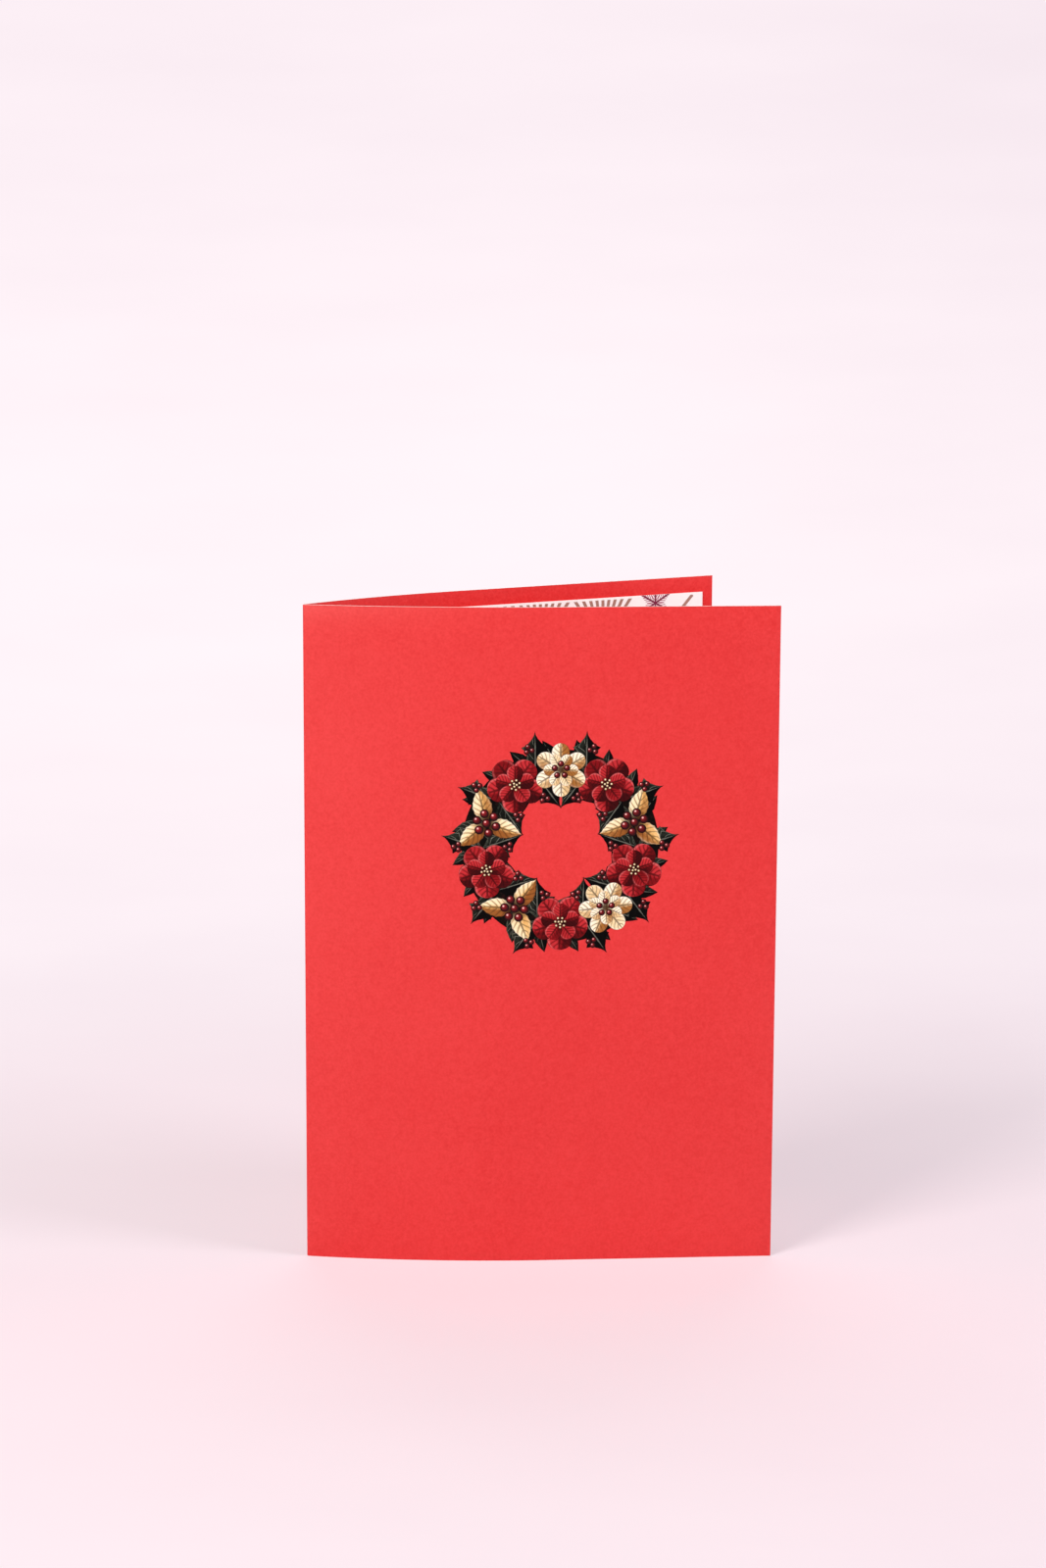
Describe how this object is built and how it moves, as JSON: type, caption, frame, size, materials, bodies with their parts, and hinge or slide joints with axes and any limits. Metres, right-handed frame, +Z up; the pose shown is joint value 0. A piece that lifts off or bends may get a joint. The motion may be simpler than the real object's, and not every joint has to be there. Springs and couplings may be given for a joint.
{
  "type": "greeting card",
  "caption": "Folded board greeting card standing open on its cut edges, with a flower wreath printed on the front and a white panel glued inside the back leaf.",
  "frame": {"origin": "centre of the bounding box in plan, on the surface that the card stands on", "axes": "+Z up along the fold, +X from the fold towards the free edges, and the front leaf faces -Y"},
  "size_m": [0.1256, 0.0647, 0.178],
  "materials": {
    "red_board": "matte",
    "white_paper": "matte",
    "bronze_ink": "matte",
    "pink_ink": "matte",
    "dark_green_ink": "matte",
    "gold_ink": "matte",
    "deep_red_ink": "matte",
    "cream_ink": "matte",
    "berry_ink": "matte",
    "seed_ink": "matte"
  },
  "bodies": {
    "root": {"cover": "red_board", "insert_panel": "white_paper", "panel_gold_rays": "bronze_ink", "panel_pink_stars": "pink_ink", "wreath_foliage": "dark_green_ink", "wreath_gold_leaves": "gold_ink", "wreath_red_flowers": "deep_red_ink", "wreath_cream_flowers": "cream_ink", "wreath_berries": "berry_ink", "wreath_seeds": "seed_ink"}
  },
  "joints": []
}
